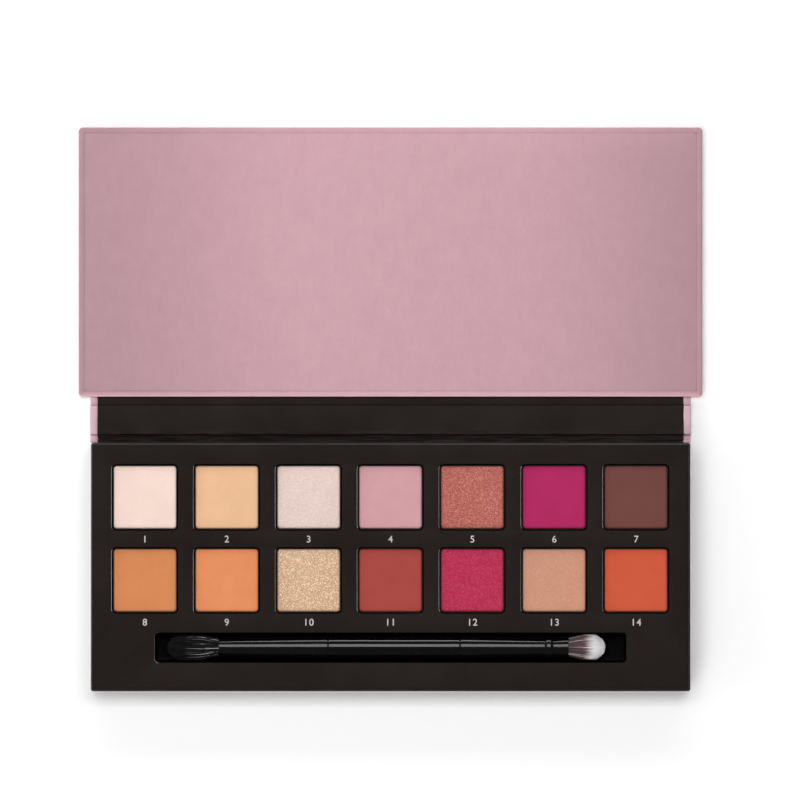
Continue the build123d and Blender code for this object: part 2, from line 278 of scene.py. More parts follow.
def rub_by(finish, name, pale):
    """Paint a highlight: turn a finish paler where the mesh's attribute of that name says so."""
    tree = finish.node_tree
    shader = tree.nodes["Principled BSDF"]
    ground = shader.inputs["Base Color"].links[0].from_socket
    tone_by(tree, shader, attribute(tree, name), ground, pale)


def toned(colour, share):
    """The same colour, darker or lighter by a share."""
    return tuple(min(1.0, value * share) for value in colour)


def velour_finish(name, shade, light, painted_shade_share):
    """Dusty-rose velour between two tones, with painted shade darkening its ends by a share."""
    finish, tree, shader = new_finish(name, 0.92, 0.12)
    connect(tree, shader, {"Sheen Weight": 0.10, "Sheen Roughness": 0.45})
    pile = use_group(tree, pile_group, 1.0)
    # Painted light: the middle keeps the two tones, and the ends take painted shade, darker by the
    # share.
    painted_lit_tone = mix_colours(tree, pile["Nap"], shade, light)
    painted_shaded_tone = mix_colours(tree, pile["Nap"], toned(shade, painted_shade_share),
                             toned(light, painted_shade_share))
    pile_with_painted_light = mix_colours(tree, pile["Painted_Light"], painted_shaded_tone, painted_lit_tone)
    speck = stretch_range(tree, pile["Fibre"], 0.0, 1.0, 0.22, 0.0)
    tone_by(tree, shader, speck, pile_with_painted_light, toned(shade, 0.8))
    # Painted highlight along the cover's folded front edge, where the mesh marks it.
    rub_by(finish, "painted_fold_highlight", toned(light, 1.35))
    roughen_by(tree, shader, pile["Nap"], 0.96, 0.86)
    add_bump(tree, shader, pile["Height"], 0.07 * MM, 0.7)
    return finish


# The last value is how dark the painted shade makes the ends.
velour = velour_finish("rose_velour", (0.585, 0.347, 0.398), (0.625, 0.377, 0.428), 0.735)

# Greyboard: recycled pulp, so a grey-brown ground with darker and lighter flecks.
board_group, board_scale, board_out = in_group("board_fleck", ("Fleck", "Height"))
flecks = add_noise(board_group, scaled_place(board_group, board_scale, PER_MM), 1.6, 5.0, 0.7)
connect(board_group, board_out, {
    "Fleck": stretch_range(board_group, flecks, 0.35, 0.65), "Height": flecks})


def board_finish(name, dark, light):
    """Bare or dyed board between two tones."""
    finish, tree, shader = new_finish(name, 0.9, 0.2)
    fleck = use_group(tree, board_group, 1.0)
    tone_by(tree, shader, fleck["Fleck"], dark, light)
    roughen_by(tree, shader, fleck["Fleck"], 0.82, 0.95)
    add_bump(tree, shader, fleck["Height"], 0.05 * MM)
    return finish


greyboard = board_finish("greyboard", (0.20, 0.185, 0.165), (0.34, 0.32, 0.29))


def dress(finish, *nodes):
    """Give carried-over nodes their finish."""
    for node in nodes:
        mesh = frame["nodes"][node].data
        mesh.materials.clear()
        mesh.materials.append(finish)


dress(greyboard, "bottom_board")


def add_piece(name, solid, finish, sharp_angle=40):
    """Turn a bmesh into a shown piece: welded, normals outwards, smooth but for its real corners."""
    bmesh.ops.remove_doubles(solid, verts=solid.verts, dist=0.0005 * MM)
    bmesh.ops.recalc_face_normals(solid, faces=solid.faces)
    mesh = bpy.data.meshes.new(name)
    solid.to_mesh(mesh)
    solid.free()
    for face in mesh.polygons:
        face.use_smooth = True
    mesh.set_sharp_from_angle(angle=math.radians(sharp_angle))
    mesh.materials.append(finish)
    piece = bpy.data.objects.new(name, mesh)
    bpy.context.collection.objects.link(piece)
    return piece


tray_left, tray_front, _, tray_right, _, _ = extents("tray_wall_front")
tray_rear = extents("tray_wall_rear")[4]
tray_top = extents("face_card")[5]
_, _, cloth_thickness, _, _, board_top = extents("bottom_board")

# The tail of this cloth, behind the tray, belongs to the folding cloth of the hinge strip.
base_cloth_end = tray_rear + 0.1 * MM
solid = bmesh.new()
solid.from_mesh(frame["nodes"]["base_cloth"].data)
bmesh.ops.remove_doubles(solid, verts=solid.verts, dist=0.001 * MM)
bmesh.ops.dissolve_limit(solid, angle_limit=0.01, verts=solid.verts, edges=solid.edges)
corners = [edge for edge in solid.edges
           if edge.is_manifold and edge.calc_face_angle(0) > math.radians(40)]
bmesh.ops.bevel(solid, geom=corners, offset=0.12 * MM, segments=2, profile=0.5, affect="EDGES",
                clamp_overlap=True)
base_wrap = add_piece("base_wrap", solid, velour)
for point in base_wrap.data.vertices:
    if point.co.y > base_cloth_end:
        point.co.y = base_cloth_end
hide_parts("base_cloth")
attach(base_wrap, "tray")

# ---------------------------------------------------------------- tray walls
# Four greyboard strips glued up as a frame and wrapped in one sheet of matte black paper, turned
# over the top edge. The lip round the top frames the card face.


def rounded_ring(centre, half_x, half_y, radius, z, corner_steps, side_steps):
    """Points of a rounded rectangle at height z, anticlockwise from its right-hand side."""
    radius = max(radius, 0.001 * MM)
    turns = ((1, -1, -90), (1, 1, 0), (-1, 1, 90), (-1, -1, 180))
    corners = []
    for side_x, side_y, start in turns:
        middle = (centre[0] + side_x * (half_x - radius), centre[1] + side_y * (half_y - radius))
        for step in range(corner_steps + 1):
            angle = math.radians(start + 90 * step / corner_steps)
            corners.append(Vector((middle[0] + radius * math.cos(angle),
                                   middle[1] + radius * math.sin(angle), z)))
    ring = []
    per_corner = corner_steps + 1
    for index, point in enumerate(corners):
        ring.append(point)
        if index % per_corner == per_corner - 1:
            following = corners[(index + 1) % len(corners)]
            for step in range(1, side_steps):
                ring.append(point.lerp(following, step / side_steps))
    return ring


def skin(solid, rings, closed_tube=False):
    """Faces between rings of equally many points, capped, or joined end to end."""
    rows = [[solid.verts.new(point) for point in ring] for ring in rings]
    pairs = list(zip(rows, rows[1:]))
    if closed_tube:
        pairs.append((rows[-1], rows[0]))
    for first, second in pairs:
        count = len(first)
        for index in range(count):
            after = (index + 1) % count
            solid.faces.new((first[index], first[after], second[after], second[index]))
    if not closed_tube:
        solid.faces.new(rows[0][::-1])
        solid.faces.new(rows[-1])
    return rows


def quarter_turn(radius, steps, first=0):
    """How far out and how far down each step of a rounded edge lies, from its side to its top."""
    turns = [math.radians(90 * step / steps) for step in range(first, steps + 1)]
    return [(radius * (1 - math.cos(turn)), radius * (1 - math.sin(turn))) for turn in turns]


def plan(left, front, right, rear):
    """Middle, half length and half depth of a box seen from above."""
    return ((left + right) / 2, (front + rear) / 2), (right - left) / 2, (rear - front) / 2


def add_shell(name, box_plan, profile, corner, finish, sharp_angle=40, steps=(5, 8), tube=False):
    """A rounded box from its (inset, z) profile; corner gives the corners' radius at an inset."""
    centre, half_x, half_y = box_plan
    solid = bmesh.new()
    skin(solid, [rounded_ring(centre, half_x - inset, half_y - inset, corner(inset), z, *steps)
                 for inset, z in profile], closed_tube=tube)
    return add_piece(name, solid, finish, sharp_angle)


# Paper: a fine tooth, a few rubbed patches and pale dust specks.
paper_group, paper_scale, paper_out = in_group("paper_tooth", ("Rub", "Dust", "Height"))
paper_even = scaled_place(paper_group, paper_scale, PER_MM)
rub = add_noise(paper_group, paper_even, 0.045, 3.0, 0.6)
tooth = add_noise(paper_group, paper_even, 4.0, 3.0, 0.6)
specks = add_noise(paper_group, paper_even, 2.6, 1.0, 0.5)
connect(paper_group, paper_out, {
    "Rub": stretch_range(paper_group, rub, 0.38, 0.66),
    "Dust": stretch_range(paper_group, specks, 0.74, 0.80), "Height": tooth})


def black_paper_finish(name, dark, rubbed, dust, roughness, specular, tooth_depth):
    """Matte black paper or card: slightly rubbed, with a little powder dust on it."""
    finish, tree, shader = new_finish(name, roughness, specular)
    paper = use_group(tree, paper_group, 1.0)
    ground = mix_colours(tree, paper["Rub"], dark, rubbed)
    tone_by(tree, shader, paper["Dust"], ground, dust)
    roughen_by(tree, shader, paper["Rub"], roughness + 0.06, roughness - 0.08)
    add_bump(tree, shader, paper["Height"], tooth_depth)
    return finish


wrap_paper = black_paper_finish("black_wrap_paper", (0.011, 0.009, 0.009), (0.014, 0.0115, 0.0115),
                                (0.06, 0.05, 0.05), 0.45, 0.28, 0.010 * MM)
# Painted highlight on the rim's rounded edge, where the mesh marks it.
rub_by(wrap_paper, "painted_rim_highlight", (0.21, 0.195, 0.20))

tray_plan = plan(tray_left, tray_front, tray_right, tray_rear)
tray_centre, tray_half_x, tray_half_y = tray_plan
card_left, card_front, card_bottom, card_right, card_rear, card_top = extents("face_card")
lip = card_left - tray_left
wall_thickness = extents("tray_wall_left")[3] - tray_left
tray_corner = 0.7 * MM
edge_roll = 0.45 * MM

wall_profile = [(0.12 * MM, board_top), (0, board_top + 0.12 * MM)]
wall_profile += [(out, tray_top - down) for out, down in quarter_turn(edge_roll, 4)]
wall_profile += [(lip - 0.08 * MM, tray_top), (lip - 0.02 * MM, tray_top - 0.06 * MM),
                 (lip - 0.02 * MM, card_bottom), (wall_thickness, card_bottom),
                 (wall_thickness, board_top)]
tray_wrap = add_shell("tray_wrap", tray_plan, wall_profile,
                      lambda inset: max(tray_corner - inset, 0.1 * MM), wrap_paper, tube=True)

# A painted highlight along the rim's left side, paler towards the rear, and faint on the other
# sides.
rim_highlight_mask = tray_wrap.data.attributes.new("painted_rim_highlight", "FLOAT", "POINT")
for index, point in enumerate(tray_wrap.data.vertices):
    inset = min(tray_half_x - abs(point.co.x - tray_centre[0]),
                tray_half_y - abs(point.co.y - tray_centre[1]))
    on_rim = point.co.z > tray_top - 0.8 * edge_roll and inset < 0.75 * edge_roll
    side_share = 0.85 if point.co.x < tray_left + 0.6 * MM else 0.05
    fade = 0.25 + 0.75 * (point.co.y - tray_front) / (tray_rear - tray_front)
    patchy = 0.85 + 0.4 * noise.noise(Vector((point.co.x, point.co.y, 0)) / (6 * MM))
    rim_highlight_mask.data[index].value = on_rim * side_share * fade * patchy
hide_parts("tray_wall_front", "tray_wall_rear", "tray_wall_left", "tray_wall_right")
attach(tray_wrap, "tray")

# ---------------------------------------------------------------- pan bed, rail and end blocks
# Die-cut black board blocks, glued in between the walls. Only the rims of the pan pockets show,
# in the narrow gap round each pan.
black_board = board_finish("black_board", (0.006, 0.005, 0.005), (0.016, 0.014, 0.014))
dress(black_board, "pan_bed", "front_rail", "groove_end_left", "groove_end_right")

# Steel catch discs under the card face, and the magnets in the cover that pull on them.
steel, tree, shader = new_finish("plated_steel", 0.35, 0.5, 1.0)
brushed = use_group(tree, board_group, 2.0)
tone_by(tree, shader, brushed["Fleck"], (0.52, 0.52, 0.53), (0.66, 0.66, 0.67))
roughen_by(tree, shader, brushed["Fleck"], 0.28, 0.42)
dress(steel, "catch_plate_left", "catch_plate_right", "lid_magnet_left", "lid_magnet_right")

# ---------------------------------------------------------------- brush trough
# A black channel, vacuum-formed in thin sheet, so its floor meets its walls in a radius. It is
# satin, and its rim hides under the card face.
satin_black, tree, shader = new_finish("satin_black_plastic", 0.42, 0.03)
plastic = use_group(tree, paper_group, 1.6)
tone_by(tree, shader, plastic["Rub"], (0.0012, 0.0011, 0.0011), (0.0022, 0.0020, 0.0020))
roughen_by(tree, shader, plastic["Rub"], 0.36, 0.5)
add_bump(tree, shader, plastic["Height"], 0.006 * MM)

(trough_left, trough_front, trough_bottom, trough_right, trough_rear,
 trough_top) = extents("brush_trough")
trough_plan = plan(trough_left, trough_front, trough_right, trough_rear)
trough_wall = 0.5 * MM
trough_corner = 0.6 * MM
groove_corner = 1.2 * MM
floor_radius = 1.0 * MM
groove_floor = trough_bottom + trough_wall
trough_profile = [(0.3 * MM, trough_bottom), (0, trough_bottom + 0.3 * MM), (0, trough_top),
                  (trough_wall, trough_top), (trough_wall, groove_floor + floor_radius)]
trough_profile += [(trough_wall + out, groove_floor + down)
                   for out, down in quarter_turn(floor_radius, 4, 1)]


def trough_radius(inset):
    """Corner radius of the channel: its outside, or its inside, wider towards the floor."""
    return trough_corner if inset < trough_wall else groove_corner + 0.2 * (inset - trough_wall)


trough = add_shell("brush_channel", trough_plan, trough_profile, trough_radius, satin_black)
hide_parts("brush_trough")
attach(trough, "tray")

# ---------------------------------------------------------------- face card
# One sheet of 0.5 mm card, printed solid black with a soft-touch varnish, and die-cut with a
# window for each pan and a slot for the brush. The die rounds the edges over, and the cuts show
# the black-dyed core, with a painted highlight on the windows' left cuts and the slot's left end.
card_print = black_paper_finish("black_card_print", (0.0150, 0.0105, 0.0092),
                                (0.0175, 0.0125, 0.0112), (0.045, 0.036, 0.034),
                                0.60, 0.06, 0.008 * MM)
cut_core = board_finish("card_cut_edge", (0.012, 0.009, 0.008), (0.030, 0.024, 0.021))
# Painted highlight on the cut edges, where the mesh marks them.
rub_by(cut_core, "painted_rim_highlight", (0.90, 0.86, 0.85))

pan_names = sorted(name for name in frame["nodes"] if name.startswith("pan_") and name != "pan_bed")
pan_boxes = {name: extents(name) for name in pan_names}
pan_gap = 0.3 * MM
pan_corner = 1.3 * MM
card_edge = 0.14 * MM
card_fit = 0.04 * MM


def add_outline(curve, box_plan, growth, corner, corner_steps):
    """One closed outline of a flat curve: a rounded box, grown by so much on every side."""
    centre, half_x, half_y = box_plan
    ring = rounded_ring(centre, half_x + growth, half_y + growth, corner, 0, corner_steps, 1)
    spline = curve.splines.new("POLY")
    spline.points.add(len(ring) - 1)
    for point, place in zip(spline.points, ring):
        point.co = (place.x, place.y, 0, 1)
    spline.use_cyclic_u = True


def mesh_from(curve, place):
    """The mesh of a curve or a text, moved to a place."""
    form = bpy.data.objects.new(curve.name, curve)
    bpy.context.collection.objects.link(form)
    form.location = place
    bpy.context.view_layer.update()
    evaluated = form.evaluated_get(bpy.context.evaluated_depsgraph_get())
    mesh = bpy.data.meshes.new_from_object(evaluated)
    mesh.transform(form.matrix_world)
    bpy.data.objects.remove(form)
    return mesh


card_curve = bpy.data.curves.new("card_outline", "CURVE")
card_curve.dimensions = "2D"
card_curve.fill_mode = "BOTH"
card_curve.extrude = (card_top - card_bottom) / 2 - card_edge
card_curve.bevel_depth = card_edge
card_curve.bevel_resolution = 2
card_curve.offset = -card_edge
card_plan = plan(card_left, card_front, card_right, card_rear)
card_centre, card_half_x, _ = card_plan
add_outline(card_curve, card_plan, -card_fit, 0.4 * MM, 4)
for left, front, _, right, rear, _ in pan_boxes.values():
    add_outline(card_curve, plan(left, front, right, rear), pan_gap, pan_corner + pan_gap, 6)
add_outline(card_curve, trough_plan, -trough_wall, groove_corner, 6)
solid = bmesh.new()
solid.from_mesh(mesh_from(card_curve, (0, 0, (card_bottom + card_top) / 2)))
printed_card = add_piece("printed_card", solid, card_print, 50)
printed_card.data.materials.append(cut_core)
for face in printed_card.data.polygons:
    inside_border = abs(face.center.x - card_centre[0]) < 0.97 * card_half_x
    between_edges = card_front + 2 * MM < face.center.y < card_rear - 1 * MM
    if inside_border and between_edges and abs(face.normal.z) < 0.85:
        face.material_index = 1

slot_left = trough_left + trough_wall
slot_front = trough_front + trough_wall
# Painted highlight on the windows' left cuts and at the slot's left end.
cut_highlight_mask = printed_card.data.attributes.new("painted_rim_highlight", "FLOAT", "FACE")
for index, face in enumerate(printed_card.data.polygons):
    place = face.center
    by_slot_end = abs(place.x - slot_left) < 0.9 * groove_corner
    if by_slot_end and slot_front - 0.3 * MM < place.y < trough_rear:
        cut_highlight_mask.data[index].value = 0.6 if place.y < trough_front + 2 * groove_corner else 0.25
    for left, front, _, right, rear, _ in pan_boxes.values():
        at_left_cut = abs(place.x - left + pan_gap) < 0.25 * MM
        if at_left_cut and front < place.y < rear and face.normal.z > 0:
            patchy = 0.6 * noise.noise(Vector((left, front, 0)) / (9 * MM))
            cut_highlight_mask.data[index].value = 0.8 + patchy
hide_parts("face_card")
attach(printed_card, "tray")

# Plain shade numbers, printed in pale grey under the pans.
number_ink, tree, shader = new_finish("pale_grey_ink", 0.6, 0.3)
ink = use_group(tree, paper_group, 2.0)
tone_by(tree, shader, ink["Rub"], (0.60, 0.59, 0.58), (0.50, 0.49, 0.48))
add_bump(tree, shader, ink["Height"], 0.004 * MM)

number_height = 2.15 * MM
font_cap_share = 0.70
ink_thickness = 0.006 * MM
number_drop = 1.55 * MM
solid = bmesh.new()
for name, (left, front, _, right, _, _) in pan_boxes.items():
    text = bpy.data.curves.new("shade_number", "FONT")
    text.body = str(int(name.split("_")[1]))
    text.size = number_height / font_cap_share
    text.align_x = "CENTER"
    text.align_y = "TOP_BASELINE"
    text.extrude = ink_thickness
    text.offset = 0.02 * MM
    text.space_character = 1.15
    baseline = front - pan_gap - number_drop - number_height
    solid.from_mesh(mesh_from(text, ((left + right) / 2, baseline, card_top)))
shade_numbers = add_piece("shade_numbers", solid, number_ink)
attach(shade_numbers, "tray")

# ---------------------------------------------------------------- pans
# Square pans, pressed from thin tin coloured near black, with a rounded rim. Each is glued into its
# pocket, a little below the card face.
tin, tree, shader = new_finish("pressed_tin", 0.4, 0.5, 1.0)
tin_grain = use_group(tree, board_group, 1.5)
tone_by(tree, shader, tin_grain["Fleck"], (0.016, 0.014, 0.013), (0.034, 0.030, 0.028))
roughen_by(tree, shader, tin_grain["Fleck"], 0.34, 0.5)

pan_wall = 0.3 * MM
pan_floor = 0.25 * MM
rim_steps = 6
for name, (left, front, bottom, right, rear, top) in pan_boxes.items():
    middle, half, _ = plan(left, front, right, rear)
    pan_profile = [(0.35 * MM, bottom), (0.1 * MM, bottom + 0.08 * MM), (0, bottom + 0.35 * MM)]
    for step in range(rim_steps + 1):
        turn = math.pi * step / rim_steps
        rise = (math.sin(turn) - 1) * pan_wall / 2
        pan_profile.append((pan_wall / 2 * (1 - math.cos(turn)), top + rise))
    pan_profile.append((pan_wall, bottom + pan_floor))
    pan = add_shell("tin_" + name, (middle, half, half), pan_profile,
                    lambda inset: pan_corner - inset, tin, 60, (5, 2))
    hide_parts(name)
    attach(pan, "tray")

# ---------------------------------------------------------------- powders
# Each pan holds a cake of pressed powder, struck nearly level with the rim by a die that leaves
# a soft shoulder. Mattes are chalky; shimmers and glitters carry flakes of coated mica.
powder_group, powder_scale, powder_out = in_group("powder_grain",
                                                  ("Mottle", "Grain", "Flake", "Height"))
powder_even = scaled_place(powder_group, powder_scale, PER_MM)
mottle = add_noise(powder_group, powder_even, 0.16, 3.0, 0.6)
grain = add_noise(powder_group, powder_even, 5.0, 3.0, 0.7)
cells = add_node(powder_group, "ShaderNodeTexVoronoi", {"Vector": powder_even, "Scale": 4.5})
flake_share = add_node(powder_group, "ShaderNodeSeparateColor",
                       {"Color": cells.outputs["Color"]}).outputs["Red"]
connect(powder_group, powder_out, {
    "Mottle": stretch_range(powder_group, mottle, 0.34, 0.66),
    "Grain": stretch_range(powder_group, grain, 0.3, 0.7),
    "Flake": stretch_range(powder_group, flake_share, 0.55, 1.0),
    "Height": combine(powder_group, "ADD", grain, combine(powder_group, "MULTIPLY", mottle, 0.6))})


def linear(red, green, blue):
    """A colour given as it looks, in 0 to 255, as the light that it sends back."""
    def one(value):
        share = value / 255
        return share / 12.92 if share <= 0.04045 else ((share + 0.055) / 1.055) ** 2.4
    return (one(red), one(green), one(blue))


def powder_finish(name, colour, shimmer, flake):
    """Pressed powder of one shade. shimmer is how much of it is mica, flake the mica's colour."""
    finish, tree, shader = new_finish(name, 0.9, 0.12)
    powder = use_group(tree, powder_group, 1.0)
    ground = mix_colours(tree, powder["Mottle"], toned(colour, 0.975), toned(colour, 1.03))
    chalk_amount = stretch_range(tree, powder["Grain"], 0, 1, 0.09, 0.0)
    if shimmer:
        chalky = mix_colours(tree, chalk_amount, ground, toned(colour, 0.45))
        flakes = stretch_range(tree, powder["Flake"], 0, 1, 0.0, shimmer)
        tone_by(tree, shader, flakes, chalky, flake)
        metal = stretch_range(tree, powder["Flake"], 0, 1, 0.0, 0.75 * shimmer)
        tree.links.new(metal, shader.inputs["Metallic"])
        roughen_by(tree, shader, powder["Flake"], 0.75, 0.36)
    else:
        tone_by(tree, shader, chalk_amount, ground, toned(colour, 0.45))
        roughen_by(tree, shader, powder["Grain"], 0.86, 0.98)
    add_bump(tree, shader, powder["Height"], (0.03 + 0.03 * shimmer) * MM)
    return finish


# Each shade as it looks, in order; and for those with mica, how much of it and the mica's colour.
shades = {
    "pale_ivory": (246, 220, 207), "peach_cream": (236, 189, 149),
    "shimmer_blush": (226, 202, 194), "dusty_mauve": (211, 159, 164),
    "copper_rose": (172, 93, 84), "berry": (178, 43, 96), "cocoa": (115, 71, 65),
    "caramel": (215, 137, 88), "apricot_clay": (230, 144, 97), "gold_glitter": (207, 164, 130),
    "brick": (170, 74, 67), "raspberry": (181, 43, 79), "sand_beige": (203, 146, 121),
    "tangerine": (207, 91, 62),
}
no_mica = (0.0, (255, 255, 255))
mica = {
    "shimmer_blush": (0.45, (255, 240, 232)), "copper_rose": (0.65, (238, 165, 146)),
    "gold_glitter": (0.9, (255, 238, 212)), "raspberry": (0.4, (228, 100, 132)),
    "sand_beige": (0.2, (245, 205, 180)),
}
powder_clearance = 0.02 * MM
shoulder = 0.62 * MM
crown = 0.05 * MM
highest_above_rim = 0.09 * MM
top_rings = 14
powder_corner = pan_corner - pan_wall
for index, (shade, colour) in enumerate(shades.items(), start=1):
    node = f"powder_{index:02d}"
    shimmer, flake = mica.get(shade, no_mica)
    finish = powder_finish(shade, linear(*colour), shimmer, linear(*flake))
    left, front, bottom, right, rear, top = extents(node)
    middle, half, _ = plan(left, front, right, rear)
    half -= powder_clearance
    powder_profile = [(0, bottom), (0, top - shoulder)]
    powder_profile += [(out, top - down) for out, down in quarter_turn(shoulder, 4, 1)]
    powder_profile += [(shoulder + (half - shoulder) * step / top_rings, top)
                       for step in range(1, top_rings)]
    rings = []
    for inset, z in powder_profile:
        corner = powder_corner
        if inset > shoulder:
            corner = max(powder_corner - 0.6 * inset, 0.25 * (half - inset))
        rings.append(rounded_ring(middle, half - inset, half - inset, corner, z, 5, 9))
    offset = Vector((index * 3.7, 0, 0))
    for ring in rings[2:]:
        for point in ring:
            local = Vector((point.x - middle[0], point.y - middle[1], 0)) / MM
            away = max(abs(local.x), abs(local.y)) / (half / MM)
            broad = noise.noise(local * 0.22 + offset)
            fine = noise.noise(local * 1.1 + offset * 2)
            point.z += crown * (1 - away ** 2) + (0.030 * broad + 0.012 * fine) * MM
            point.z = min(point.z, top + highest_above_rim)
    solid = bmesh.new()
    skin(solid, rings)
    powder = add_piece("cake_" + shade, solid, finish, 60)
    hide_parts(node)
    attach(powder, "tray")

# ---------------------------------------------------------------- hinge strip: cloth
# The same velour runs on under a narrow spine board and bends in the two gaps beside it. At each
# end it is turned up round the board and glued down on top, a little unevenly.
_, spine_front, _, spine_right, _, _ = extents("spine_cloth")
_, strip_front, _, strip_right, strip_rear, strip_top = extents("spine_board")
lid_left, lid_front, _, lid_right, lid_rear, lid_top = extents("lid_cloth")
_, _, _, liner_right, _, liner_top = extents("spine_liner")
dress(greyboard, "spine_board")

# For each half of the strip: its end, the bodies either side of its fold, the fold axis's Y,
# and a reach about it. Only the end is used below.
joint_y = {joint["name"]: joint["pos_m"][1] for joint in frame["joints"]
           if joint["type"] == "hinge"}
folds = (("rear", "tray", "spine", joint_y["spine_fold"], 0.75 * MM),
         ("front", "spine", "lid", joint_y["lid_fold"], 0.55 * MM))
strip_middle = (strip_front + strip_rear) / 2
turned_in = 2.25 * MM
gutter_sheet = 0.19 * MM
cover_roll = 0.55 * MM


def ease(value, low, high):
    """0 below low and 1 above high, turning smoothly between them."""
    share = min(1.0, max(0.0, (value - low) / (high - low)))
    return share * share * (3 - 2 * share)


def over_board(y):
    """1 over the spine board and 0 in the gaps on both sides of it."""
    rise = ease(y, strip_front - 0.75 * MM, strip_front + 0.1 * MM)
    return rise * (1 - ease(y, strip_rear - 0.02 * MM, strip_rear + 0.44 * MM))


def up_tray(y):
    """1 at the tray, where the cloth and liner are glued up the bottom board's edge, else 0."""
    return 1 - ease(y, tray_rear + 0.12 * MM, tray_rear + 0.62 * MM)


def sheet_at(y):
    """Thickness of the cloth: full, or pressed thin in the gap that the cover folds into."""
    pressed = ease(y, strip_rear + 0.1 * MM, strip_rear + 0.9 * MM)
    return cloth_thickness + (gutter_sheet - cloth_thickness) * pressed


def turn_in_edge(y, side):
    """X of the turn-in's inner end, as on the right; it wanders, and flares at the tray."""
    wander = 0.22 * noise.noise(Vector((y / MM * 0.35, side * 5.0, 0.3))) * MM
    flare = 0.9 * MM * (1 - ease(y, spine_front - 2.2 * MM, spine_front + 0.6 * MM))
    return spine_right - turned_in + wander - flare


def cloth_section(y):
    """Outline of the wrapped cloth across the strip at one place along its depth."""
    sheet = sheet_at(y)
    raised = over_board(y) * (strip_top - sheet) + up_tray(y) * (board_top - 2 * sheet)
    under = sheet + raised + 0.004 * MM
    upper = under + sheet
    if y > lid_front:
        # Here the cloth is tucked under the rounded edge of the cover, in what space that leaves.
        rest = max(0.0, cover_roll - (y - lid_front))
        space = cover_roll - math.sqrt(cover_roll ** 2 - rest ** 2) - 0.012 * MM
        sheet = min(sheet, 0.5 * space)
        under = sheet + 0.002 * MM
        upper = min(upper, space)
    roll = min(0.3 * MM, upper / 2 * 0.98)
    nook = roll * 0.29
    cut_edge = min(0.08 * MM, 0.5 * (upper - under))
    outer = spine_right
    inner = strip_right + 0.02 * MM
    outline = []
    for side in (-1, 1):
        edge = turn_in_edge(y, side)
        half = [(0.02 * MM + 0.33 * (outer - roll), 0), (0.66 * (outer - roll), 0),
                (outer - roll, 0), (outer - nook, nook), (outer, roll),
                (outer, max(roll, upper - roll)), (outer - nook, upper - nook),
                (outer - roll, upper), (outer - 1.1 * MM, upper), (edge + 0.08 * MM, upper),
                (edge, upper - cut_edge), (edge, under), (inner, under), (inner, sheet),
                (inner * 0.5, sheet)]
        outline.append([Vector((side * x, y, z)) for x, z in half])
    left, right = outline
    return right + left[::-1]


def fold_rows(stops):
    """Places along Y between the stops, close together in the gaps."""
    rows = []
    for start, end, count in stops:
        rows += [start + (end - start) * step / count for step in range(count)]
    return rows + [stops[-1][1]]


# The cloth's two halves meet in the middle of the spine board.
rear_rows = fold_rows([(tray_rear + 0.12 * MM, strip_front - 0.9 * MM, 8),
                       (strip_front - 0.9 * MM, strip_front + 0.6 * MM, 10),
                       (strip_front + 0.6 * MM, strip_middle, 3)])
front_rows = fold_rows([(strip_middle, strip_rear - 0.6 * MM, 3),
                        (strip_rear - 0.6 * MM, strip_rear + 1.0 * MM, 10),
                        (strip_rear + 1.0 * MM, lid_front - 0.02 * MM, 8),
                        (lid_front - 0.02 * MM, lid_front + 0.34 * MM, 8)])
# A lighter copy of the same velour, painted light, on the upward faces of the turn-ins.
painted_lit_velour = velour_finish("rose_velour_painted_lit", (0.62, 0.415, 0.475),
                              (0.72, 0.515, 0.575), 1.0)
for (end, first, second, fold, reach), rows in zip(folds, (rear_rows, front_rows)):
    solid = bmesh.new()
    skin(solid, [cloth_section(y) for y in rows])
    fold_cloth = add_piece("fold_cloth_" + end, solid, velour, 60)
    fold_cloth.data.materials.append(painted_lit_velour)
    for face in fold_cloth.data.polygons:
        if face.normal.z > 0.6 and abs(face.center.x) > 0.95 * spine_right:
            face.material_index = 1
    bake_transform(fold_cloth)
    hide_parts("spine_cloth")

# ---------------------------------------------------------------- hinge strip: liner
# Thin black book cloth is glued over the inside of the strip and over the turn-ins' inner ends.
# It is loose at the foot of the tray, where folding has creased it.
liner_cloth = black_paper_finish("black_book_cloth", (0.0165, 0.0122, 0.0108),
                                 (0.0195, 0.0145, 0.0130), (0.04, 0.032, 0.03),
                                 0.6, 0.08, 0.02 * MM)

liner_sheet = 0.12 * MM
liner_columns = 220


def liner_height(x, y):
    """Top of the liner, with creases near the tray."""
    sheet = sheet_at(y)
    base = 2 * sheet + 0.01 * MM
    crease_zone = 1 - ease(y, spine_front - 0.3 * MM, spine_front + 1.6 * MM)
    ridge = 0.9 - 2.6 * abs(noise.noise(Vector((x / MM * 0.07, y / MM * 1.5, 1.0))))
    pucker = noise.noise(Vector((x / MM * 0.45, y / MM * 2.6, 4.0)))
    lift = crease_zone * (0.24 + 0.34 * ridge + 0.18 * pucker) * MM
    climb = max(0.0, board_top + 0.14 * MM - base - max(0.0, lift)) * up_tray(y)
    return base + max(0.0, lift) + climb + over_board(y) * (liner_top - base)


